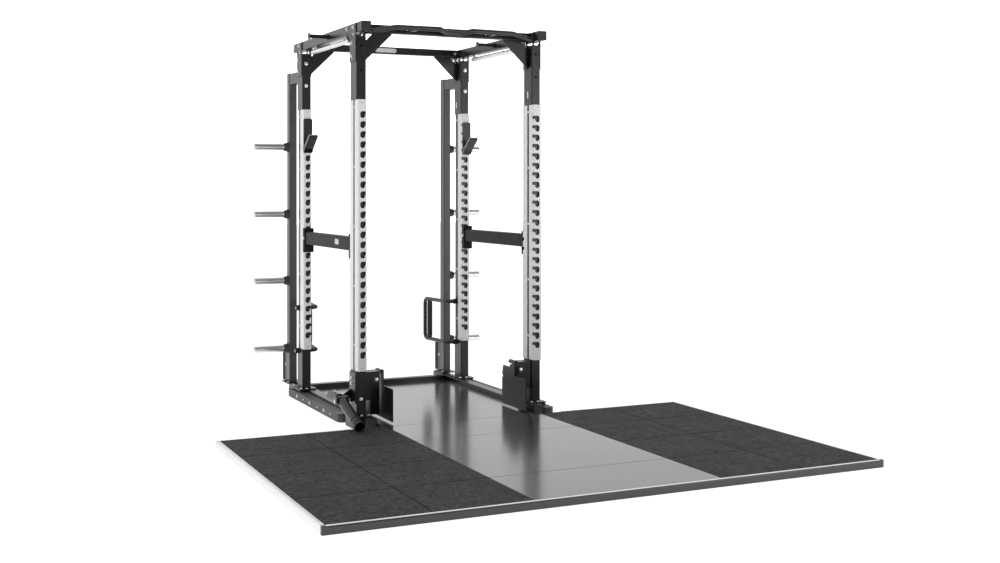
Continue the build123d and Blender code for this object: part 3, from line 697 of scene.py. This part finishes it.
# ---------------------------------------------------------------- plates and small parts
BADGE_THICKNESS = 0.0020
CAP_SCREW_SINK = 0.0028
SADDLE_BOLT_BACK = 0.013
SOCKET_DROOP = math.radians(17.6)
SOCKET_LENGTH = 0.342
PIVOT_LOW, PIVOT_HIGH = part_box("socket_cross_bolt")
SOCKET_PIVOT = (PIVOT_LOW + PIVOT_HIGH) / 2
POST_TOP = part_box("storage_post_left")[1].z


def badge_plates():
    """Blank plates: one on the rear crossbeam, one on each safety."""
    low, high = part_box("rear_crossbeam")
    middle = (low + high) / 2

    def rear(shape):
        slab(shape, (middle.x, low.y, middle.z), (0, -1, 0), (0.160, 0.030), BADGE_THICKNESS, 0.012)
        rivet = [(0.0030, 0.0018), (0.0030, 0.0026), (0.0018, 0.0031)]
        for x in (-0.070, 0.070):
            lathe(shape, rivet, (x, low.y, middle.z), (0, -1, 0), 16)

    add_piece("rear_badge_plate", "rack", "pale_liner", rear)
    for side in SIDES:
        low_beam, high_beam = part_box(f"safety_beam_{side}")
        outward = side_of(side)
        face = low_beam.x if outward < 0 else high_beam.x
        place = Vector((face, low_beam.y + 0.245, (low_beam.z + high_beam.z) / 2 + 0.004))

        def plate(shape):
            slab(shape, place, (outward, 0, 0), (0.075, 0.034), BADGE_THICKNESS, 0.006)

        add_piece(f"safety_badge_plate_{side}", f"{side}_safety", "pale_liner", plate)


def cap_screws():
    """A screw in the outer face of each corner cap."""
    caps = islands("profile_corner_caps")

    def build(shape):
        for low, high in caps:
            outward = 1 if low.x > 0 else -1
            face = high.x if outward > 0 else low.x
            place = Vector((face - outward * CAP_SCREW_SINK, (low.y + high.y) / 2, (low.z + high.z) / 2))
            profile = [(0.0033, 0), (0.0033, 0.0014), (0.0020, 0.0024)]
            lathe(shape, profile, place, (outward, 0, 0), steps=20)

    add_piece("edge_cap_screws", "rack", "zinc", build)


def hook_details():
    """Screws through each bar hook's wear strip."""
    for side in SIDES:
        low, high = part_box(f"j_hook_liner_{side}")
        slope = Vector((0, -(high.y - low.y), high.z - low.z)).normalized()
        normal = Vector((0, slope.z, -slope.y))
        middle = (low + high) / 2

        def screws(shape):
            profile = [(0.0048, -0.001), (0.0046, 0.0006), (0.0030, 0.0010)]
            for step in (-0.042, 0.042):
                lathe(shape, profile, middle + slope * step + normal * 0.0012, normal, steps=24)

        add_piece(f"hook_screws_{side}", f"{side}_bar_hook", "zinc", screws)


def safety_details():
    """The cross bolt of each safety's rear saddle."""
    for side in SIDES:
        beam_low, beam_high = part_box(f"safety_beam_{side}")
        low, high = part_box(f"safety_brackets_{side}")
        middle_z = (beam_low.z + beam_high.z) / 2

        def bolts(shape):
            for outward in (-1, 1):
                face = high.x if outward > 0 else low.x
                place = Vector((face - outward * 0.0002, beam_high.y - SADDLE_BOLT_BACK, middle_z))
                hoop(shape, 0.0060, 0.0105, WASHER_THICKNESS, place, (outward, 0, 0))
                profile = [(0.0080, 0.001), (0.0080, 0.0055), (0.0062, 0.0070)]
                lathe(shape, profile, place, (outward, 0, 0), steps=6)

        add_piece(f"safety_bolts_{side}", f"{side}_safety", "zinc", bolts)


def socket_details():
    """Rim and two clamp rings on the bar socket, and a grease nipple on its barrel."""
    bracket_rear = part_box("socket_bracket")[1].y
    head_low, head_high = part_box("socket_head")
    pivot = Vector(((head_low.x + head_high.x) / 2, SOCKET_PIVOT.y, SOCKET_PIVOT.z))
    along = Vector((0, -math.cos(SOCKET_DROOP), -math.sin(SOCKET_DROOP)))

    def rim(shape):
        hoop(shape, 0.0262, 0.0330, 0.005, pivot + along * SOCKET_LENGTH, along)
        for back in (0.030, 0.075):
            hoop(shape, 0.0312, 0.0334, 0.006, pivot + along * (SOCKET_LENGTH - back), along)

    def nipple(shape):
        top = Vector((pivot.x, bracket_rear - 0.060, pivot.z + 0.0345))
        lathe(shape, [(0.0055, 0), (0.0055, 0.004), (0.0048, 0.0046)], top, (0, 0, 1), steps=6)
        stem = [(0.0030, 0.0044), (0.0026, 0.0065), (0.0034, 0.0082), (0.0030, 0.0100), (0.0012, 0.0108)]
        lathe(shape, stem, top, (0, 0, 1), steps=20)

    add_piece("bar_socket_rims", "bar_socket", "black_frame", rim)
    add_piece("barrel_grease_nipple", "rack", "zinc", nipple)


def weld_beads():
    """Weld seams at the feet, the crossbeams, the storage arms and the rear base beam."""
    crossbeams = [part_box("front_crossbeam"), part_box("rear_crossbeam")]
    base_low, base_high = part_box("base_beam_rear")
    arm_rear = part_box("storage_arms")[1].y - 0.001

    def build(shape):
        inset = 0.005
        for low, high in column_boxes():
            front, rear = boot_span(low, high)
            for x in (low.x, high.x):
                bead(shape, (x, front + inset, low.z), (x, rear - inset, low.z))
            for y in (front, rear):
                bead(shape, (low.x + inset, y, low.z), (high.x - inset, y, low.z))
        for low, high in crossbeams:
            for x in (low.x + 0.0015, high.x - 0.0015):
                for y in (low.y, high.y):
                    bead(shape, (x, y, low.z + 0.004), (x, y, high.z - 0.004))
        base_top = base_high.z - 0.001
        for x in (base_low.x + 0.001, base_high.x - 0.001):
            bead(shape, (x, base_low.y + inset, base_top), (x, base_high.y - inset, base_top))
        for side in (-1, 1):
            for offset in (-0.0275, 0.0275):
                x = side * COLUMN_LINE + offset
                bead(shape, (x, arm_rear, POST_TOP - 0.078), (x, arm_rear, POST_TOP - 0.004))

    add_piece("weld_beads", "rack", "black_frame", build)


bolt_details()
clip_details()
end_plugs()
peg_details()
holder_rims()
grip_sleeves()
knob_screws()
badge_plates()
cap_screws()
hook_details()
safety_details()
socket_details()
weld_beads()


# ---------------------------------------------------------------- camera, light and floor
TILE_EDGE_TO_FRONT = 0.020
DECK_FRONT = CAD_LOW.y + TILE_EDGE_TO_FRONT
CAMERA_BACK = 5.2131
CAMERA_HEIGHT = 1.4462
CAMERA_SIDE = -3.159
CAMERA_TURN = -25.305
CAMERA_LENS = 45.706
CAMERA_SENSOR = 36
CAMERA_SHIFT = -0.09575
WORLD_LEVEL = 0.63
WORLD_SLOPE = (-0.20, 0.58, 0.04)
FLOOR_GLOW = 0.62
FLOOR_HALF = 40


def make_camera():
    data = bpy.data.cameras.new("camera")
    data.sensor_width = CAMERA_SENSOR
    data.lens = CAMERA_LENS
    data.shift_y = CAMERA_SHIFT
    camera = bpy.data.objects.new("camera", data)
    bpy.context.scene.collection.objects.link(camera)
    camera.location = (CAMERA_SIDE, DECK_FRONT - CAMERA_BACK, DECK_TOP + CAMERA_HEIGHT)
    camera.rotation_euler = (math.radians(90), 0, math.radians(CAMERA_TURN))
    bpy.context.scene.camera = camera


def area_light(name, place, target, size, power):
    data = bpy.data.lights.new(name, "AREA")
    data.shape = "RECTANGLE"
    data.size, data.size_y = size
    data.energy = power
    light = bpy.data.objects.new(name, data)
    bpy.context.scene.collection.objects.link(light)
    light.location = place
    light.rotation_euler = (Vector(target) - Vector(place)).to_track_quat("-Z", "Y").to_euler()
    light.visible_camera = False


def make_light():
    """A pale studio that is brightest behind and to the left, with two soft boxes in front."""
    world = bpy.data.worlds.new("studio")
    world.use_nodes = True
    tree = world.node_tree
    background = tree.nodes["Background"]
    direction = tree.nodes.new("ShaderNodeTexCoord").outputs["Generated"]
    tilt = tree.nodes.new("ShaderNodeVectorMath")
    tilt.operation = "DOT_PRODUCT"
    tilt.inputs[1].default_value = WORLD_SLOPE
    tree.links.new(direction, tilt.inputs[0])
    level = tree.nodes.new("ShaderNodeMath")
    level.operation = "ADD"
    level.inputs[1].default_value = WORLD_LEVEL
    tree.links.new(tilt.outputs["Value"], level.inputs[0])
    camera_ray = tree.nodes.new("ShaderNodeLightPath").outputs["Is Camera Ray"]
    strength = tree.nodes.new("ShaderNodeMath")
    strength.operation = "ADD"
    tree.links.new(level.outputs[0], strength.inputs[0])
    tree.links.new(camera_ray, strength.inputs[1])
    background.inputs["Color"].default_value = (1, 1, 1, 1)
    tree.links.new(strength.outputs[0], background.inputs["Strength"])
    bpy.context.scene.world = world
    area_light("right_box", (3.3, DECK_FRONT - 3.4, 1.7), (0.6, 0.3, 1.3), (2.4, 2.6), 85)
    area_light("left_key", (-4.5, DECK_FRONT - 4.5, 4.0), (-0.4, 0.3, 1.2), (2.0, 2.0), 90)


def make_floor():
    """A wide pale floor that glows a little, so that it stays white up to the backdrop."""
    mesh = bpy.data.meshes.new("studio_floor")
    corners = [(x * FLOOR_HALF, y * FLOOR_HALF, 0) for x, y in ((-1, -1), (1, -1), (1, 1), (-1, 1))]
    mesh.from_pydata(corners, [], [(0, 1, 2, 3)])
    floor = bpy.data.objects.new("studio_floor", mesh)
    bpy.context.scene.collection.objects.link(floor)
    m = Nodes("studio_floor")
    m.colour(m.ramp(m.noise(0.8), [(0.3, (0.90, 0.90, 0.90)), (0.7, (0.93, 0.93, 0.93))]))
    m.set(roughness=0.9, specular_ior_level=0.1, emission_strength=FLOOR_GLOW, emission_color=(1, 1, 1, 1))
    mesh.materials.append(m.material)


make_camera()
make_light()
make_floor()
bpy.context.scene.view_settings.view_transform = "Standard"
